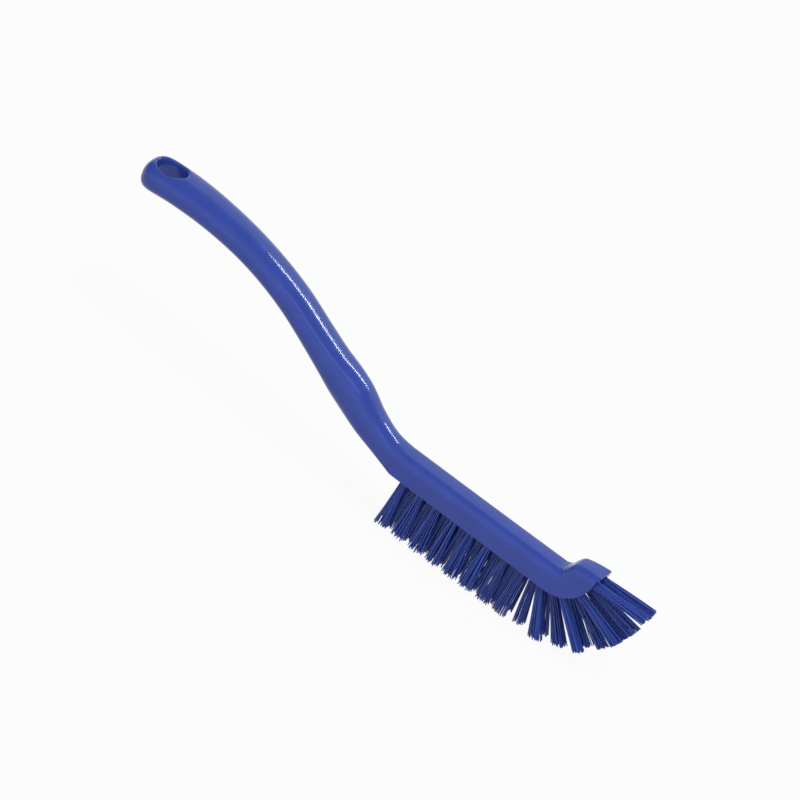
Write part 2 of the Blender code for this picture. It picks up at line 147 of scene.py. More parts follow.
TRIM_FRONT = HEAD_LENGTH + NOSE_RADIUS + FRONT_BRISTLE_LENGTH
STAND = np.array([(HANDLE_LENGTH - TRIM_FRONT) / 2, 0.0, BRISTLE_LENGTH])

# Camera: its direction, the direction across the picture that runs along the head, the cosine and sine by
# which the picture is turned, then a point on the head's near lower rim and the way from there to the
# picture's middle
TOWARDS_CAMERA = (0.21, -0.84, 0.50)
SEEN_ALONG_HEAD = (0.9777, 0.1804, -0.1074)
PICTURE_TURN = (0.8, 0.6)
RIM_POINT = 0.0050
RIM_TO_MIDDLE = (0.000124, 0.0344)

# Studio
FLOOR_HALF_LENGTH = 7.0
FLOOR_PLAIN_SHARE = 0.92  # how much of the floor is plain white where it is looked at
LAMPS_AIM = (0.0, 0.0, 0.04)

# A section's stretches in degrees round it: bottom, lower rim, side, upper edge and crown, with their steps
STRETCHES = (-90.0, -44.0, -34.0, 14.0, 50.0, 90.0)
STRETCH_STEPS = (8, 4, 12, 9, 8)
PATCH_COLUMNS = 12  # steps of the bottom and the rim, and as many from 34 degrees to the middle of the top

# Rings along the moulding: rounded end, handle, head, nose, the finer stretch at the lip and its rounded edge
END_RINGS = 16
HANDLE_RINGS = 123
HEAD_RINGS = 40
NOSE_RINGS = 33
LIP_RINGS = 14
LIP_STRETCH_START = 0.88  # as a share of the nose's rails
EDGE_RINGS = 4
CREASE_ANGLE = math.radians(35)


# Shapes

def smooth_through(at, places, values, end_slopes=(None, None)):
    """A smooth curve through (places, values), read at the places in at: cubic Hermite pieces whose slope at
    each point is that of the parabola through it and its neighbours."""
    places = np.asarray(places, float)
    values = np.asarray(values, float)
    steps = np.diff(places)
    rises = np.diff(values) / steps
    inner = (rises[:-1] * steps[1:] + rises[1:] * steps[:-1]) / (steps[:-1] + steps[1:])
    first = rises[0] if end_slopes[0] is None else end_slopes[0]
    last = rises[-1] if end_slopes[1] is None else end_slopes[1]
    slopes = np.concatenate([[first], inner, [last]])
    at = np.asarray(at, float)
    i = np.clip(np.searchsorted(places, at) - 1, 0, len(steps) - 1)
    t = (at - places[i]) / steps[i]
    start = (1 + 2 * t) * (1 - t) ** 2 * values[i] + t * (1 - t) ** 2 * steps[i] * slopes[i]
    end = t**2 * (3 - 2 * t) * values[i + 1] + t**2 * (t - 1) * steps[i] * slopes[i + 1]
    return start + end


def section_degrees():
    """The half section's angles from the middle of the bottom to the middle of the top, even in each
    stretch."""
    parts = [np.linspace(a, b, n, endpoint=False) for a, b, n in zip(STRETCHES, STRETCHES[1:], STRETCH_STEPS)]
    return np.concatenate(parts + [[STRETCHES[-1]]])


def sections(half_width, height, squareness):
    """Closed sections as (y, z) points, one row for each ring. The round form is the superellipse y = w
    |cos t|^(2/e), z = h/2 (1 +- |sin t|^(2/e)). The square form goes along a flat bottom, a quarter circle
    and a straight side, then over the upper part of a quarter circle and across the top, both raised by the
    parabola c (1 - (y / side)^2). Squareness mixes the two."""
    degrees = section_degrees()
    turn = np.radians(degrees)
    power = 2 / ROUND_EXPONENT
    w, h, s = (np.asarray(v, float)[:, None] for v in (half_width, height, squareness))
    round_y = w * np.abs(np.cos(turn)) ** power
    round_z = h / 2 * (1 + np.sign(turn) * np.abs(np.sin(turn)) ** power)

    bottom, rim_turn, side, edge_turn, top = (
        np.clip((degrees - a) / (b - a), 0, 1) for a, b in zip(STRETCHES, STRETCHES[1:])
    )
    rim = np.minimum(RIM_ROUNDING, RIM_SHARE * h)
    edge = np.minimum(TOP_EDGE_RADIUS, TOP_EDGE_SHARE * h)
    crown = TOP_CROWN * np.minimum(1, h / HEEL_HEIGHT)
    first_turn = np.arcsin(1 - edge / TOP_EDGE_RADIUS)
    arc = first_turn + (math.pi / 2 - first_turn) * edge_turn
    inner = w - TOP_EDGE_RADIUS
    widest = inner + TOP_EDGE_RADIUS * np.cos(first_turn)
    shoulder = h - crown - edge
    rim_turn = rim_turn * math.pi / 2
    lower_y = bottom * (widest - rim) + rim * np.sin(rim_turn)
    lower_z = rim * (1 - np.cos(rim_turn)) + side * (shoulder - rim)
    upper_y = (inner + TOP_EDGE_RADIUS * np.cos(arc)) * (1 - top)
    upper_z = h - crown - TOP_EDGE_RADIUS * (1 - np.sin(arc)) + crown * (1 - (upper_y / widest) ** 2)
    above = edge_turn > 0
    square_y = np.where(above, upper_y, lower_y)
    square_z = np.where(above, upper_z, lower_z)
    y = round_y + s * (square_y - round_y)
    z = round_z + s * (square_z - round_z)
    y[:, 0] = y[:, -1] = 0
    return np.concatenate([y, -y[:, -2:0:-1]], 1), np.concatenate([z, z[:, -2:0:-1]], 1)


def handle_line(back):
    """The handle at distances back from the heel edge: centre, the normal to its line, half the thickness,
    half the width and squareness. Both halves follow a superellipse to nothing at the handle's end."""
    share = np.asarray(back, float) / HANDLE_LENGTH
    heights = (HEEL_HEIGHT / 2,) + tuple(np.multiply(RISE_SHARES, HANDLE_RISE))
    thicknesses = (HEEL_HEIGHT,) + tuple(np.multiply(THICKNESS_SHARES, HANDLE_THICKNESS))
    widths = (HEAD_WIDTH,) + tuple(np.multiply(WIDTH_SHARES, HANDLE_WIDTH))
    height_slopes = (HEEL_SLOPE * HANDLE_LENGTH, None)
    height = smooth_through(share, BACK_SHARES, heights, height_slopes)
    thickness = smooth_through(share, BACK_SHARES, thicknesses, (HEEL_SWELL * HANDLE_LENGTH, 0.0))
    width = smooth_through(share, BACK_SHARES, widths, (0.0, 0.0))
    squareness = np.clip(smooth_through(share, BACK_SHARES, SQUARE_SHARES, (None, 0.0)), 0, 1)

    nudge = 0.001
    ahead, behind = np.clip(share - nudge, 0, None), np.clip(share + nudge, None, 1)
    rise = smooth_through(ahead, BACK_SHARES, heights, height_slopes)
    rise = rise - smooth_through(behind, BACK_SHARES, heights, height_slopes)
    slope = rise / ((behind - ahead) * HANDLE_LENGTH)
    normal = np.stack([-slope, np.ones_like(slope)], -1) / np.hypot(1, slope)[..., None]

    from_end = np.clip(HANDLE_LENGTH - np.asarray(back, float), 0, None)
    plan = np.clip(1 - from_end / END_ROUNDING_LENGTH, 0, 1)
    profile = np.clip(1 - from_end / END_ROUNDING_DEPTH, 0, 1)
    centre = np.stack([-np.asarray(back, float), height], -1)
    half_width = width / 2 * (1 - plan**END_EXPONENT) ** (1 / END_EXPONENT)
    half_thick = thickness / 2 * (1 - profile**END_EXPONENT) ** (1 / END_EXPONENT)
    return centre, normal, half_thick, half_width, squareness


def handle_height(x, y, side):
    """Height of the handle's upper (side 1) or lower (side -1) surface over points (x, y) of its round
    stretch. The point's place along the handle is found by repeated substitution."""
    back = -x
    substitutions = 16
    for _ in range(substitutions):
        centre, normal, half_thick, half_width, _ = handle_line(back)
        off = np.clip(np.abs(y) / np.maximum(half_width, 1e-9), 0, 1)
        reach = side * half_thick * (1 - off**ROUND_EXPONENT) ** (1 / ROUND_EXPONENT)
        back = normal[..., 0] * reach - x
    return centre[..., 1] + normal[..., 1] * reach


def lip_front():
    return HEAD_LENGTH + NOSE_RADIUS + LIP_OVERHANG


def nose_top(shares):
    """Upper rail of the nose at shares of its length: a smooth curve over the riser, then the lip."""
    front = lip_front() - LIP_EDGE_ROUNDING
    lip_back = front - LIP_LENGTH
    back_height = LIP_HEIGHT - LIP_FALL
    x = HEAD_LENGTH + (lip_back - HEAD_LENGTH) * np.array(RISER_RUN_SHARES)
    z = NECK_HEIGHT + (back_height - NECK_HEIGHT) * np.array(RISER_RISE_SHARES)
    x = np.concatenate([x, lip_back + LIP_LENGTH * np.array(LIP_RUN_SHARES)])
    z = np.concatenate([z, back_height + LIP_FALL * np.array(LIP_RISE_SHARES)])
    along = np.concatenate([[0], np.cumsum(np.hypot(np.diff(x), np.diff(z)))])
    reach = np.asarray(shares) * along[-1]
    return np.stack([smooth_through(reach, along, x), smooth_through(reach, along, z)], 1)


def nose_face(shares):
    """Lower rail of the nose at shares of its length: a quarter turn, then a straight flare to the lip's
    edge."""
    turn_length = NOSE_RADIUS * math.pi / 2
    flare = np.array([LIP_OVERHANG - LIP_EDGE_ROUNDING, LIP_HEIGHT - LIP_EDGE - NOSE_RADIUS])
    flare_length = np.hypot(*flare)
    reach = np.asarray(shares) * (turn_length + flare_length)
    turn = np.minimum(reach, turn_length) / NOSE_RADIUS
    points = np.stack([HEAD_LENGTH + NOSE_RADIUS * np.sin(turn), NOSE_RADIUS * (1 - np.cos(turn))], 1)
    return points + np.clip((reach - turn_length) / flare_length, 0, 1)[:, None] * flare


def nose_half_width(x):
    """Half the nose's width at x along its top: it widens with the square of the way to the front, and the
    lip's corners are quarter circles."""
    taper = np.clip((x - HEAD_LENGTH) / (lip_front() - HEAD_LENGTH), 0, 1) ** 2
    half = (HEAD_WIDTH + taper * (NOSE_WIDTH - HEAD_WIDTH)) / 2
    corner = np.clip(1 - (lip_front() - x) / LIP_CORNER_RADIUS, 0, 1)
    return half - LIP_CORNER_RADIUS * (1 - np.sqrt(1 - corner**2))


def moulding_rails():
    """Rings from the handle's end to the lip: lower rail, upper rail, half width, squareness, and how far
    each ring of the handle lies from the handle's end."""
    turns = np.linspace(0, math.pi / 2, END_RINGS + 1)[1:]
    from_end = END_ROUNDING_LENGTH * (1 - np.cos(turns))
    onwards = np.linspace(END_ROUNDING_LENGTH, HANDLE_LENGTH, HANDLE_RINGS + 1)[1:]
    from_end = np.concatenate([from_end, onwards])
    centre, normal, half_thick, half_width, squareness = handle_line(HANDLE_LENGTH - from_end)
    low = [centre - normal * half_thick[:, None]]
    high = [centre + normal * half_thick[:, None]]

    x = np.linspace(0, HEAD_LENGTH, HEAD_RINGS + 1)[1:]
    low.append(np.stack([x, 0 * x], 1))
    high.append(np.stack([x, HEEL_HEIGHT + (NECK_HEIGHT - HEEL_HEIGHT) * (x / HEAD_LENGTH) ** 2], 1))

    shares = np.concatenate([
        np.linspace(0, LIP_STRETCH_START, NOSE_RINGS + 1)[1:],
        LIP_STRETCH_START + (1 - LIP_STRETCH_START) * np.linspace(0, 1, LIP_RINGS + 1)[1:],
    ])
    low.append(nose_face(shares))
    high.append(nose_top(shares))

    turn = np.linspace(0, math.pi / 2, EDGE_RINGS + 1)[1:]
    x = lip_front() - LIP_EDGE_ROUNDING * (1 - np.sin(turn))
    drop = LIP_EDGE_ROUNDING * (1 - np.cos(turn))
    low.append(np.stack([x, LIP_HEIGHT - LIP_EDGE + drop], 1))
    high.append(np.stack([x, LIP_HEIGHT - drop], 1))

    low, high = np.concatenate(low), np.concatenate(high)
    past = len(low) - len(from_end)
    nose = high[len(from_end) + HEAD_RINGS:]
    widths = np.concatenate([half_width, np.full(HEAD_RINGS, HEAD_WIDTH / 2), nose_half_width(nose[:, 0])])
    return low, high, widths, np.concatenate([squareness, np.ones(past)]), from_end


def loop_faces(first, second):
    """Quads between two closed loops of vertex numbers, or between rows of such loops."""
    return np.stack([first, second, np.roll(second, -1, -1), np.roll(first, -1, -1)], -1).reshape(-1, 4)


def moulding_shape(hole_radius, hole_rim):
    """Points and faces of the moulding without its tuft holes: rings of one section carried along both
    rails. Round the hanging hole a block of the grid gives way, above and below, to rings that go from the
    block's edge to a circle, then over a quarter-round rim, and meet in the hole's wall."""
    low, high, half_width, squareness, from_end = moulding_rails()
    height = np.hypot(*(high - low).T)
    up = (high - low) / height[:, None]
    y, z = sections(half_width, height, squareness)
    rings = np.stack([low[:, :1] + up[:, :1] * z, y, low[:, 1:] + up[:, 1:] * z], -1)
    count, around = y.shape
    number = np.arange(count * around).reshape(count, around)
    points = [rings.reshape(-1, 3)]

    centre_from_end = HANG_HOLE_END_WALL + HANG_HOLE_RADIUS
    centre_x = centre_from_end - HANDLE_LENGTH
    first = int(np.searchsorted(from_end, centre_from_end - HANG_HOLE_PATCH))
    last = int(np.searchsorted(from_end, centre_from_end + HANG_HOLE_PATCH))
    half = (around + 2) // 2
    columns = {1: np.arange(half - 1 - PATCH_COLUMNS, half + PATCH_COLUMNS),
               -1: np.arange(-PATCH_COLUMNS, PATCH_COLUMNS + 1)[::-1] % around}
    keep = np.ones((count - 1, around), bool)
    for side, across in columns.items():
        left = across[:-1] if side == 1 else across[1:]
        keep[first:last, left] = False
    tube = loop_faces(number[:-1], number[1:]).reshape(count - 1, around, 4)
    faces = [tube[keep]]

    edges = {}
    for side, across in columns.items():
        edges[side] = np.concatenate([
            number[first, across[:-1]], number[first:last, across[-1]], number[last, across[:0:-1]],
            number[last:first:-1, across[0]],
        ])
    plan = {side: points[0][edge][:, :2] - (centre_x, 0) for side, edge in edges.items()}
    turn = np.unwrap(np.arctan2(plan[1][:, 1], plan[1][:, 0]))
    other = np.unwrap(np.arctan2(plan[-1][:, 1], plan[-1][:, 0]))
    turn = (turn + other + 2 * math.pi * round((turn[0] - other[0]) / (2 * math.pi))) / 2
    round_way = np.stack([np.cos(turn), np.sin(turn)], -1)

    start = count * around
    inner = {}
    sweep = np.linspace(0, math.pi / 2, HANG_HOLE_RIM_STEPS + 1)[1:]
    inward = np.array(HANG_HOLE_RING_SHARES)[:, None, None]
    for side in (1, -1):
        circle = (hole_radius + hole_rim) * round_way
        flat = plan[side] + inward * (circle - plan[side])
        rim = (hole_radius + hole_rim * (1 - np.sin(sweep)))[:, None, None] * round_way
        flat = np.concatenate([flat, rim]) + (centre_x, 0)
        drop = np.concatenate([np.zeros(len(inward)), hole_rim * (1 - np.cos(sweep))])[:, None]
        level = handle_height(flat[..., 0], flat[..., 1], side) - side * drop
        points.append(np.concatenate([flat, level[..., None]], -1).reshape(-1, 3))
        loops = start + np.arange(flat.shape[0] * len(turn)).reshape(-1, len(turn))
        start += loops.size
        loops = np.concatenate([edges[side][None], loops])
        faces.append(loop_faces(loops[:-1], loops[1:]))
        inner[side] = loops[-1]
    found = np.concatenate(points)
    share = np.linspace(0, 1, HANG_HOLE_WALL_STEPS + 1)[1:-1, None, None]
    wall = found[inner[1]] + share * (found[inner[-1]] - found[inner[1]])
    points.append(wall.reshape(-1, 3))
    loops = start + np.arange(wall.shape[0] * wall.shape[1]).reshape(wall.shape[:2])
    loops = np.concatenate([inner[1][None], loops, inner[-1][None]])
    faces.append(loop_faces(loops[:-1], loops[1:]))

    caps = [number[0].tolist(), number[-1].tolist()]
    return np.concatenate(points), [f for part in faces for f in part.tolist()] + caps


def tuft_places():
    """For each tuft, heel to nose, the matrix from its own frame, with +Z along the bristles, to the row
    frame. Ranks of two tufts and one in turn are even along the face to just past the bend, then even round
    the nose."""
    face = np.linspace(HEEL_MARGIN, HEAD_LENGTH + NOSE_RADIUS * FACE_END_TURN, FACE_RANKS)
    nose = HEAD_LENGTH + NOSE_RADIUS * np.linspace(*NOSE_TURNS, NOSE_RANKS)
    leans = (0,) * (FACE_RANKS + NOSE_RANKS - len(LEAN_SHARES)) + tuple(np.multiply(LEAN_SHARES, LAST_LEAN))
    places = []
    for rank, along in enumerate(np.concatenate([face, nose])):
        turn = max(along - HEAD_LENGTH, 0) / NOSE_RADIUS
        x = min(along, HEAD_LENGTH) + NOSE_RADIUS * math.sin(turn)
        z = NOSE_RADIUS * (1 - math.cos(turn))
        for y in (-SIDE_OFFSET, SIDE_OFFSET) if rank % 2 == 0 else (0,):
            root = Matrix.Translation(Vector(STAND) + Vector((x, y, z)))
            places.append(np.array(root @ Matrix.Rotation(math.pi - leans[rank], 4, "Y")))
    return places


def placed(matrix, points):
    return points @ matrix[:3, :3].T + matrix[:3, 3]


def hole_shape(places):
    """All tuft holes as closed cylinders, from HOLE_DEPTH under the face to HOLE_OVERRUN over it."""
    sides = TUFT_HOLE_SIDES
    turn = np.linspace(0, 2 * math.pi, sides, endpoint=False)
    circle = np.stack([np.cos(turn), np.sin(turn), 0 * turn], 1) * HOLE_RADIUS
    one = np.concatenate([circle + (0, 0, -HOLE_DEPTH), circle + (0, 0, HOLE_OVERRUN)])
    points = np.concatenate([placed(m, one) for m in places])
    faces = []
    for k in range(len(places)):
        base = 2 * sides * k
        lower, upper = base + np.arange(sides), base + sides + np.arange(sides)
        faces += loop_faces(upper, lower).tolist() + [lower[::-1].tolist(), upper.tolist()]
    return points, faces


def trim_distance(start, direction):
    """How far from start each filament meets the trim: a plane under the straight face, then an arc round
    the nose that leaves the plane without a step. Places are in the row frame."""
    start = start - STAND
    centre_x = TRIM_FRONT - TRIM_RADIUS
    centre_z = TRIM_RADIUS - BRISTLE_LENGTH
    down = np.minimum(direction[:, 2], -1e-6)
    to_plane = (-BRISTLE_LENGTH - start[:, 2]) / down
    dx, dz = start[:, 0] - centre_x, start[:, 2] - centre_z
    a = direction[:, 0] ** 2 + direction[:, 2] ** 2
    b = dx * direction[:, 0] + dz * direction[:, 2]
    c = dx**2 + dz**2 - TRIM_RADIUS**2
    to_arc = (np.sqrt(b**2 - a * c) - b) / a
    return np.where(start[:, 0] + to_plane * direction[:, 0] <= centre_x, to_plane, to_arc)


def tubes(paths, radius, sides):
    """Round tubes along paths, an array of (tube, point, xyz). A ring's frame is the part of the Y axis
    square to the path, and what is square to both. Faces point outwards and both ends are closed."""
    along = np.gradient(paths, axis=1)
    along /= np.linalg.norm(along, axis=-1, keepdims=True)
    first = np.array([0.0, 1.0, 0.0]) - along * along[..., 1:2]
    first /= np.linalg.norm(first, axis=-1, keepdims=True)
    second = np.cross(along, first)
    turn = np.linspace(0, 2 * math.pi, sides, endpoint=False)[:, None]
    ring = first[..., None, :] * np.cos(turn) + second[..., None, :] * np.sin(turn)
    points = paths[..., None, :] + radius[:, None, None, None] * ring
    count, long = paths.shape[:2]
    number = np.arange(count * long * sides).reshape(count, long, sides)
    quads = np.stack([number[:, :-1], np.roll(number[:, :-1], -1, -1),
                      np.roll(number[:, 1:], -1, -1), number[:, 1:]], -1).reshape(-1, 4)
    caps = number[:, 0, ::-1].tolist() + number[:, -1].tolist()
    return points.reshape(-1, 3), quads.tolist() + caps


def tuft_paths(matrix, settings, seed):
    """Filaments of one tuft in pairs, each one folded under the anchor, as paths in the row frame: tip,
    down to the mouth of the hole, past the anchor, under it and back up to the other tip. Roots lie on a
    grid inside the hole's circle, and tips spread from it by one factor along the head and one across it,
    with a random drift and bow."""
    rng = np.random.default_rng(seed)
    pitch = settings.pitch
    limit = HOLE_RADIUS - settings.diameter / 2 - WALL_CLEARANCE
    along = settings.fan_reach * (LEVEL_REACH_SHARE if matrix[2, 2] > LEVEL else 1)
    if matrix[2, 2] < UPRIGHT:
        along = settings.tip_reach
    across = settings.middle_spread if abs(matrix[1, 3]) < HOLE_RADIUS else settings.outer_spread
    rows = (np.arange(GRID_ROWS) - GRID_ROWS // 2) * pitch * ROW_CLOSENESS
    columns = (np.arange(GRID_COLUMNS) + 0.5) * pitch
    y, x = np.meshgrid(rows, columns, indexing="ij")
    x = x + ROW_STAGGER * pitch * (np.arange(GRID_ROWS) % 2)[:, None]
    x, y = x.ravel(), y.ravel()
    inside = np.hypot(x, y) <= limit
    x, y = x[inside], y[inside]
    pairs = len(x)
    shift = rng.uniform(-ROOT_JITTER, ROOT_JITTER, (2, pairs)) * pitch
    x, y = x + shift[0], y + shift[1]

    def leg(sign):
        root = np.stack([sign * x, y, np.full(pairs, -ROOT_DEPTH)], 1)
        drift = rng.normal(0, settings.drift, (pairs, 2))
        stray = rng.random(pairs) < settings.stragglers
        drift = drift + stray[:, None] * rng.normal(0, STRAY_DRIFT * settings.drift, (pairs, 2))
        spread = np.array([along, across]) / HOLE_RADIUS - 1
        lean = np.concatenate([root[:, :2] * spread + drift, np.full((pairs, 1), BRISTLE_LENGTH)], 1)
        lean /= np.linalg.norm(lean, axis=1, keepdims=True)
        start = placed(matrix, root)
        direction = lean @ matrix[:3, :3].T
        reach = trim_distance(start, direction)
        reach = reach - rng.uniform(0, 1, pairs) ** 2 * settings.raggedness
        bow = rng.normal(0, settings.bow, (pairs, 2))
        bow = np.concatenate([bow, np.zeros((pairs, 1))], 1) @ matrix[:3, :3].T
        share = np.array(PATH_SHARES)[:, None, None]
        path = start + share * (direction * reach[:, None]) + 4 * share * (1 - share) * bow
        return path.transpose(1, 0, 2)

    beside = np.maximum(np.abs(x), ANCHOR_THICKNESS / 2 + settings.diameter / 2 + ANCHOR_CLEARANCE)
    deep = ANCHOR_BOTTOM - settings.diameter / 2 - FOLD_SLOPE * (beside - beside.min())
    deep = np.maximum(deep, settings.diameter / 2 - HOLE_DEPTH + WALL_CLEARANCE)

    def fold(sign):
        above = np.stack([sign * beside, y, np.full(pairs, ANCHOR_TOP)], 1)
        turn = np.stack([sign * beside * FOLD_NARROWING, y, deep], 1)
        return [placed(matrix, p) for p in (above, turn)]

    one, other = leg(1), leg(-1)
    inner = np.stack(fold(1) + fold(-1)[::-1], 1)
    return np.concatenate([one[:, ::-1], inner, other], 1), rng


def anchor_shape(matrix):
    """One anchor: its outline, a rectangle whose two lower corners are cut off at 45 degrees, on two planes
    an anchor's thickness apart."""
    half, cut = ANCHOR_HALF_LENGTH, ANCHOR_CHAMFER
    outline = np.array([
        (-half, ANCHOR_TOP), (-half, ANCHOR_BOTTOM + cut), (cut - half, ANCHOR_BOTTOM),
        (half - cut, ANCHOR_BOTTOM), (half, ANCHOR_BOTTOM + cut), (half, ANCHOR_TOP),
    ])
    sides = [np.insert(outline, 0, side * ANCHOR_THICKNESS / 2, axis=1) for side in (-1, 1)]
    lower = np.arange(len(outline))
    upper = lower + len(outline)
    faces = loop_faces(lower, upper).tolist() + [lower[::-1].tolist(), upper.tolist()]
    return placed(matrix, np.concatenate(sides)), faces


# Meshes and materials

def mesh_object(name, points, faces, material, smooth_below=None):
    mesh = bpy.data.meshes.new(name)
    mesh.from_pydata(points, [], faces)
    mesh.materials.append(material)
    mesh.shade_smooth()
    if smooth_below is not None:
        mesh.set_sharp_from_angle(angle=smooth_below)
    obj = bpy.data.objects.new(name, mesh)
    bpy.context.scene.collection.objects.link(obj)
    return obj


def turn_outwards(obj):
    bm = bmesh.new()
    bm.from_mesh(obj.data)
    bmesh.ops.recalc_face_normals(bm, faces=bm.faces)
    bm.to_mesh(obj.data)
    bm.free()


def cut_away(obj, cutter):
    """Subtracts cutter from obj for good and removes it."""
    cut = obj.modifiers.new("holes", "BOOLEAN")
    cut.operation = "DIFFERENCE"
    cut.solver = "EXACT"
    cut.object = cutter
    done = bpy.data.meshes.new_from_object(obj.evaluated_get(bpy.context.evaluated_depsgraph_get()))
    obj.modifiers.clear()
    old = obj.data
    obj.data = done
    name = old.name
    bpy.data.meshes.remove(old)
    done.name = name
    shape = cutter.data
    bpy.data.objects.remove(cutter)
    bpy.data.meshes.remove(shape)


class Nodes:
    """Short calls for building one node tree."""

    def __init__(self, tree):
        self.tree = tree
        tree.nodes.clear()

    def add(self, kind, inputs=None, **values):
        node = self.tree.nodes.new(kind)
        for key, value in values.items():
            setattr(node, key, value)
        for key, value in (inputs or {}).items():
            if isinstance(value, bpy.types.NodeSocket):
                self.tree.links.new(value, node.inputs[key])
            else:
                node.inputs[key].default_value = value
        return node

    def math(self, operation, *values):
        return self.add("ShaderNodeMath", dict(enumerate(values)), operation=operation).outputs["Value"]

    def noise(self, place, scale, detail, roughness):
        node = self.add("ShaderNodeTexNoise", {"Vector": place, "Scale": scale, "Detail": detail,
                                               "Roughness": roughness})
        return node.outputs["Fac"]

    def spread(self, value, low, high, start=0.3, end=0.7):
        node = self.add("ShaderNodeMapRange", {"Value": value, "From Min": start, "From Max": end,
                                               "To Min": low, "To Max": high})
        return node.outputs["Result"]

    def ramp(self, value, stops):
        node = self.add("ShaderNodeValToRGB", {"Fac": value})
        elements = node.color_ramp.elements
        while len(elements) < len(stops):
            elements.new(0.5)
        for element, (place, colour) in zip(elements, stops):
            element.position = place
            element.color = (*colour[:3], 1.0)
        return node.outputs["Color"]


def new_material(name, colour):
    made = bpy.data.materials.new(name)
    made.use_nodes = True
    made.diffuse_color = (*colour[:3], 1.0)
    return made, Nodes(made.node_tree)


def shade(colour, factor):
    return tuple(min(c * factor, 1.0) for c in colour[:3])


def moulded_plastic(settings):
    """Glossy moulded polypropylene: a faint mottle of the pigment, and a gloss that handling has dulled a
    little in wide patches. The skin is smooth, so it has no bump."""
    made, nodes = new_material("glossy blue moulding", settings.colour)
    place = nodes.add("ShaderNodeTexCoord").outputs["Object"]
    mottle = nodes.noise(place, scale=90.0, detail=4.0, roughness=0.55)
    colour = nodes.ramp(mottle, [(0.3, shade(settings.colour, 0.94)), (0.7, shade(settings.colour, 1.06))])
    worn = nodes.noise(place, scale=30.0, detail=2.0, roughness=0.5)
    gloss = nodes.spread(worn, settings.roughness * 0.95, settings.roughness * 1.06)
    shader = nodes.add("ShaderNodeBsdfPrincipled", {
        "Base Color": colour, "Roughness": gloss, "IOR": 1.49, "Specular IOR Level": 0.36,
    })
    nodes.add("ShaderNodeOutputMaterial", {"Surface": shader.outputs["BSDF"]})
    return made


def filament_plastic(settings):
    """Drawn filament: each one has its own tone and gloss from the piece's attribute, and a fine mottle."""
    made, nodes = new_material("blue filament", settings.colour)
    place = nodes.add("ShaderNodeTexCoord").outputs["Object"]
    tone = nodes.add("ShaderNodeAttribute", attribute_name="tone").outputs["Fac"]
    fine = nodes.noise(place, scale=900.0, detail=2.0, roughness=0.5)
    mixed = nodes.math("MULTIPLY_ADD", fine, 0.25, tone)
    colour = nodes.ramp(mixed, [(0.1, shade(settings.colour, 0.60)), (0.92, shade(settings.colour, 1.50))])
    gloss = nodes.spread(tone, 0.30, 0.46, start=0.0, end=1.0)
    shader = nodes.add("ShaderNodeBsdfPrincipled", {"Base Color": colour, "Roughness": gloss, "IOR": 1.52})
    nodes.add("ShaderNodeOutputMaterial", {"Surface": shader.outputs["BSDF"]})
    return made


def anchor_steel(settings):
    """Bright drawn wire: fine lines along the wire in the gloss and the height."""
    made, nodes = new_material("bright anchor wire", settings.colour)
    place = nodes.add("ShaderNodeTexCoord").outputs["Object"]
    stretched = nodes.add("ShaderNodeMapping", {"Vector": place, "Scale": (1.0, 0.08, 1.0)}).outputs["Vector"]
    lines = nodes.noise(stretched, scale=9000.0, detail=3.0, roughness=0.6)
    colour = nodes.ramp(lines, [(0.3, shade(settings.colour, 0.85)), (0.7, shade(settings.colour, 1.1))])
    gloss = nodes.spread(lines, 0.22, 0.38)
    bump = nodes.add("ShaderNodeBump", {"Height": lines, "Strength": 0.2, "Distance": 0.00002})
    shader = nodes.add("ShaderNodeBsdfPrincipled", {
        "Base Color": colour, "Roughness": gloss, "Metallic": 1.0, "Normal": bump.outputs["Normal"],
    })
    nodes.add("ShaderNodeOutputMaterial", {"Surface": shader.outputs["BSDF"]})
    return made


def floor_material(colour):
    """A pale matte floor. Where it is looked at, also in gloss and glass, most of it is plain white, and
    the rest keeps the object's shadow."""
    made, nodes = new_material("pale floor", colour)
    place = nodes.add("ShaderNodeTexCoord").outputs["Object"]
    grain = nodes.noise(place, scale=40.0, detail=4.0, roughness=0.5)
    tint = nodes.ramp(grain, [(0.3, shade(colour, 0.985)), (0.7, shade(colour, 1.0))])
    matte = nodes.add("ShaderNodeBsdfDiffuse", {"Color": tint}).outputs["BSDF"]
    plain = nodes.add("ShaderNodeEmission", {"Color": (1, 1, 1, 1), "Strength": 1.0}).outputs["Emission"]
    path = nodes.add("ShaderNodeLightPath").outputs
    seen = nodes.math("MAXIMUM", path["Is Camera Ray"], path["Is Glossy Ray"])
    seen = nodes.math("MAXIMUM", seen, path["Is Transmission Ray"])
    part = nodes.math("MULTIPLY", seen, FLOOR_PLAIN_SHARE)
    both = nodes.add("ShaderNodeMixShader", {0: part, 1: matte, 2: plain})
    nodes.add("ShaderNodeOutputMaterial", {"Surface": both.outputs["Shader"]})
    return made


# Settings

class MouldingSettings(bpy.types.PropertyGroup):
    """Sizes and finish of the moulding."""

    colour: bpy.props.FloatVectorProperty(
        name="Colour", description="Colour of the moulding", subtype="COLOR", size=3, min=0, max=1,
        default=(0.027, 0.052, 0.290))
    roughness: bpy.props.FloatProperty(
        name="Roughness", description="Middle roughness of the gloss", default=0.14, min=0.02, max=1,
        subtype="FACTOR")
    hole_radius: bpy.props.FloatProperty(
        name="Hanging hole radius", description="Radius of the hanging hole", default=HANG_HOLE_RADIUS,
        min=0.004, max=0.0072, unit="LENGTH", precision=4)
    hole_rim: bpy.props.FloatProperty(
        name="Hole rim", description="Rounding of the hanging hole's rims", default=0.0013, min=0.0002,
        max=0.0015, unit="LENGTH", precision=4)


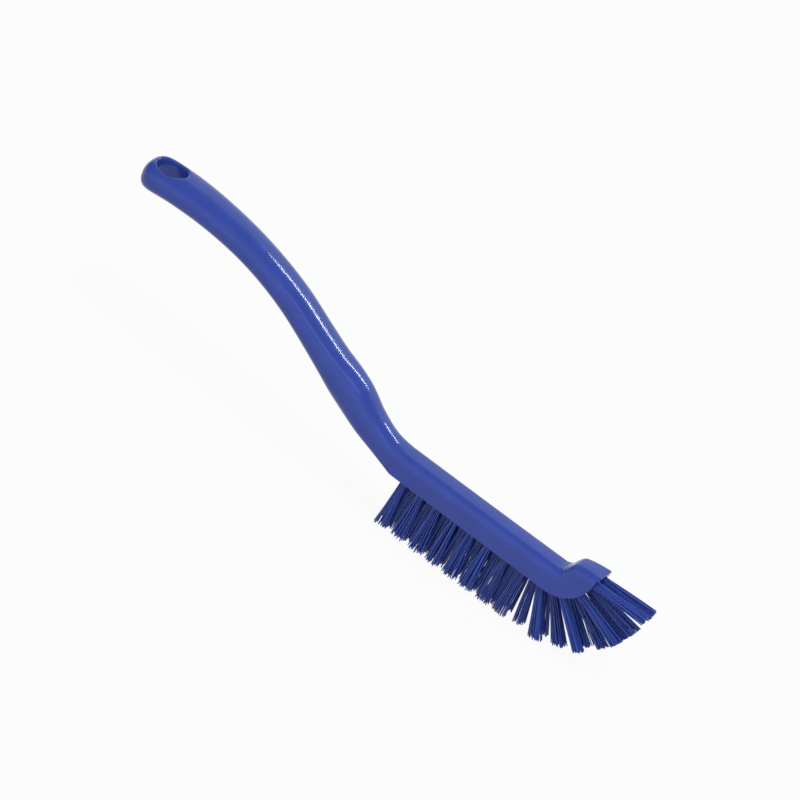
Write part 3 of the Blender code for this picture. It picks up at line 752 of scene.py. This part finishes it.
class BristleSettings(bpy.types.PropertyGroup):
    """Sizes and finish of the filaments."""

    colour: bpy.props.FloatVectorProperty(
        name="Colour", description="Middle colour of the filaments", subtype="COLOR", size=3, min=0, max=1,
        default=(0.020, 0.046, 0.262))
    diameter: bpy.props.FloatProperty(
        name="Diameter", description="Diameter of a filament", default=0.00048, min=0.0001, max=0.001,
        unit="LENGTH", precision=5)
    pitch: bpy.props.FloatProperty(
        name="Pitch", description="Distance between roots in a hole", default=0.00050, min=0.0002, max=0.001,
        unit="LENGTH", precision=5)
    tip_reach: bpy.props.FloatProperty(
        name="Tip reach", description="How far a tuft spreads along the head at its tips", default=0.0041,
        min=0.002, max=0.006, unit="LENGTH", precision=4)
    fan_reach: bpy.props.FloatProperty(
        name="Fan reach", description="The same for the leaning tufts round the nose", default=0.0034,
        min=0.002, max=0.006, unit="LENGTH", precision=4)
    outer_spread: bpy.props.FloatProperty(
        name="Outer spread", description="How far an outer tuft spreads across the head at its tips",
        default=0.0023, min=0.002, max=0.005, unit="LENGTH", precision=4)
    middle_spread: bpy.props.FloatProperty(
        name="Middle spread", description="How far a middle tuft spreads across the head at its tips",
        default=0.0036, min=0.002, max=0.005, unit="LENGTH", precision=4)
    drift: bpy.props.FloatProperty(
        name="Drift", description="Random distance of a tip from its place", default=0.00032, min=0,
        max=0.002, unit="LENGTH", precision=5)
    bow: bpy.props.FloatProperty(
        name="Bow", description="Random bow of a filament", default=0.00012, min=0, max=0.001, unit="LENGTH",
        precision=5)
    raggedness: bpy.props.FloatProperty(
        name="Raggedness", description="Most that a tip stays short of the trim", default=0.0005, min=0,
        max=0.004, unit="LENGTH", precision=4)
    stragglers: bpy.props.FloatProperty(
        name="Stragglers", description="Share of filaments that stray", default=0.03, min=0, max=0.5,
        subtype="FACTOR")
    seed: bpy.props.IntProperty(name="Seed", description="Start of the random numbers", default=11, min=0)


class AnchorSettings(bpy.types.PropertyGroup):
    """Finish of the anchor wire."""

    colour: bpy.props.FloatVectorProperty(
        name="Colour", description="Colour of the wire", subtype="COLOR", size=3, min=0, max=1,
        default=(0.62, 0.62, 0.63))


class StageSettings(bpy.types.PropertyGroup):
    """Floor, lamps and camera."""

    floor: bpy.props.FloatVectorProperty(
        name="Floor", description="Colour of the floor", subtype="COLOR", size=3, min=0, max=1,
        default=(0.60, 0.60, 0.62))
    distance: bpy.props.FloatProperty(
        name="Camera distance", description="Camera to the object", default=10.0, min=1, max=12,
        unit="LENGTH")
    view_width: bpy.props.FloatProperty(
        name="View width", description="Width of the view at the object", default=0.3304, min=0.1, max=2,
        unit="LENGTH", precision=4)
    world: bpy.props.FloatProperty(
        name="Sky", description="Strength of the light all round", default=1.0, min=0, max=4)


# Operators

class MakeMoulding(bpy.types.Operator):
    """Build the one-piece moulding: handle with its hanging hole, head, nose and scraper lip"""

    bl_idname = "joint_brush.make_moulding"
    bl_label = "Moulding"

    def execute(self, context):
        settings = context.scene.brush_moulding
        points, faces = moulding_shape(settings.hole_radius, settings.hole_rim)
        moulding = mesh_object("moulding", points + STAND, faces, moulded_plastic(settings))
        turn_outwards(moulding)
        places = tuft_places()
        cutter = mesh_object("hole cutters", *hole_shape(places), moulding.data.materials[0])
        cut_away(moulding, cutter)
        moulding.data.shade_smooth()
        moulding.data.set_sharp_from_angle(angle=CREASE_ANGLE)
        if len(moulding.data.polygons) < len(faces):
            raise RuntimeError("the tuft holes weren't cut")
        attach(moulding, "root")
        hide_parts("handle")
        return {"FINISHED"}


class MakeBristles(bpy.types.Operator):
    """Build the tufts, filament by filament, each pair folded under its anchor and trimmed at the tips"""

    bl_idname = "joint_brush.make_bristles"
    bl_label = "Bristles"

    def execute(self, context):
        settings = context.scene.brush_bristles
        finish = filament_plastic(settings)
        for count, matrix in enumerate(tuft_places(), start=1):
            paths, rng = tuft_paths(matrix, settings, settings.seed + count)
            thick = settings.diameter / 2 * rng.uniform(*FILAMENT_THICKNESSES, len(paths))
            points, faces = tubes(paths, thick, FILAMENT_SIDES)
            points[:, 2] = np.maximum(points[:, 2], 0)  # tips stop at the floor
            tuft = mesh_object(f"bristles_{count:02d}", points, faces, finish, math.radians(50))
            tone = np.repeat(rng.beta(2, 2, len(paths)), paths.shape[1] * FILAMENT_SIDES)
            tones = tuft.data.attributes.new("tone", "FLOAT", "POINT")
            tones.data.foreach_set("value", tone.astype(np.float32))
            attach(tuft, "root")
            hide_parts(f"tuft_{count:02d}")
        return {"FINISHED"}


class MakeAnchors(bpy.types.Operator):
    """Build the anchors that the solid model holds in one with their tufts, and finish all of them as wire"""

    bl_idname = "joint_brush.make_anchors"
    bl_label = "Anchors"

    def execute(self, context):
        finish = anchor_steel(context.scene.brush_anchors)
        for count, matrix in enumerate(tuft_places(), start=1):
            name = f"anchor_{count:02d}"
            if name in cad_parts:
                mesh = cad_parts[name].data
                mesh.materials.clear()
                mesh.materials.append(finish)
                continue
            anchor = mesh_object(name, *anchor_shape(matrix), finish, math.radians(30))
            turn_outwards(anchor)
            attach(anchor, "root")
        return {"FINISHED"}


def add_area(name, place, size, energy, colour=(1, 1, 1), turn=0.0):
    """A rectangular lamp that faces the object, its long side level before it is turned on its own axis."""
    lamp = bpy.data.lights.new(name, "AREA")
    lamp.shape = "RECTANGLE"
    lamp.size, lamp.size_y = size
    lamp.energy = energy
    lamp.color = colour
    obj = bpy.data.objects.new(name, lamp)
    obj.location = place
    way = Vector(LAMPS_AIM) - Vector(place)
    obj.rotation_euler = (way.to_track_quat("-Z", "Y") @ Quaternion((0, 0, 1), turn)).to_euler()
    bpy.context.scene.collection.objects.link(obj)
    return obj


def studio_sky(strength):
    """Light from all round: dim grey, bright on the viewer's side and less bright low down on the far
    side."""
    sky = bpy.data.worlds.new("studio")
    sky.use_nodes = True
    nodes = Nodes(sky.node_tree)
    way = nodes.add("ShaderNodeTexCoord").outputs["Generated"]
    parts = nodes.add("ShaderNodeSeparateXYZ", {"Vector": way}).outputs
    front = nodes.spread(parts["Y"], 1.10, 0.0, start=-0.75, end=-0.05)
    back = nodes.spread(parts["Y"], 0.0, 0.80, start=0.45, end=0.75)
    low = nodes.spread(parts["Z"], 1.0, 0.0, start=0.60, end=0.90)
    back = nodes.math("MULTIPLY", back, low)
    level = nodes.math("MAXIMUM", front, back)
    colour = nodes.ramp(level, [
        (0.0, (0.28, 0.29, 0.30)), (0.3, (0.34, 0.38, 0.39)), (0.75, (0.70, 0.80, 0.82)), (1.0, (1, 1, 1)),
    ])
    light = nodes.add("ShaderNodeBackground", {"Color": colour, "Strength": strength})
    nodes.add("ShaderNodeOutputWorld", {"Surface": light.outputs["Background"]})
    return sky


def photo_camera(distance, view_width):
    """A camera with a long lens at the photograph's angle, with the picture turned as it is there."""
    towards = Vector(TOWARDS_CAMERA).normalized()
    along = Vector(SEEN_ALONG_HEAD).normalized()
    above = towards.cross(along)
    cosine, sine = PICTURE_TURN
    right = cosine * along + sine * above
    up = -sine * along + cosine * above
    rim = Vector(STAND) + Vector((RIM_POINT, -HEAD_WIDTH / 2, 0))
    look_at = rim + RIM_TO_MIDDLE[0] * right + RIM_TO_MIDDLE[1] * up
    lens = bpy.data.cameras.new("camera")
    lens.sensor_width = 36
    lens.lens = lens.sensor_width * distance / view_width
    lens.clip_start = 0.1
    lens.clip_end = 40
    camera = bpy.data.objects.new("camera", lens)
    turned = Matrix((right, up, towards)).transposed().to_4x4()
    camera.matrix_world = Matrix.Translation(look_at + distance * towards) @ turned
    bpy.context.scene.collection.objects.link(camera)
    return camera


class MakeStage(bpy.types.Operator):
    """Set up the pale floor, the soft lamps, the sky and the camera at the photograph's angle"""

    bl_idname = "joint_brush.make_stage"
    bl_label = "Stage"

    def execute(self, context):
        settings = context.scene.brush_stage
        half = FLOOR_HALF_LENGTH
        corners = np.array([(-half, -half, 0), (half, -half, 0), (half, half, 0), (-half, half, 0)])
        floor = mesh_object("floor", corners, [[0, 1, 2, 3]], floor_material(settings.floor))
        context.scene.world = studio_sky(settings.world)
        soft = add_area("soft lamp", (0.5, -0.5, 2.2), (1.6, 1.6), 36.0)
        soft.visible_glossy = False
        add_area("strip lamp", (0.27, 1.15, 0.96), (0.5, 0.04), 3.3, (0.86, 0.93, 1.0), turn=math.radians(35))
        add_area("side lamp", (0.59, -0.28, 1.46), (0.5, 0.5), 0.7)
        context.scene.camera = photo_camera(settings.distance, settings.view_width)
        context.scene.view_settings.view_transform = "Standard"
        return {"FINISHED"}


class BrushPanel(bpy.types.Panel):
    """Settings and steps of the joint brush"""

    bl_idname = "VIEW3D_PT_joint_brush"
    bl_label = "Joint brush"
    bl_space_type = "VIEW_3D"
    bl_region_type = "UI"
    bl_category = "Joint brush"

    def draw(self, context):
        for operator, group in STEPS:
            box = self.layout.box()
            box.operator(operator.bl_idname)
            values = getattr(context.scene, group)
            for name in values.bl_rna.properties.keys():
                if name not in ("rna_type", "name"):
                    box.prop(values, name)


GROUPS = {
    "brush_moulding": MouldingSettings,
    "brush_bristles": BristleSettings,
    "brush_anchors": AnchorSettings,
    "brush_stage": StageSettings,
}
STEPS = (
    (MakeMoulding, "brush_moulding"),
    (MakeBristles, "brush_bristles"),
    (MakeAnchors, "brush_anchors"),
    (MakeStage, "brush_stage"),
)


def register():
    for group, made in GROUPS.items():
        bpy.utils.register_class(made)
        setattr(bpy.types.Scene, group, bpy.props.PointerProperty(type=made))
    for operator, _ in STEPS:
        bpy.utils.register_class(operator)
    bpy.utils.register_class(BrushPanel)


def unregister():
    bpy.utils.unregister_class(BrushPanel)
    for operator, _ in STEPS:
        bpy.utils.unregister_class(operator)
    for group, made in GROUPS.items():
        delattr(bpy.types.Scene, group)
        bpy.utils.unregister_class(made)


def main():
    register()
    bpy.ops.joint_brush.make_moulding()
    bpy.ops.joint_brush.make_bristles()
    bpy.ops.joint_brush.make_anchors()
    bpy.ops.joint_brush.make_stage()


if __name__ == "__main__":
    main()
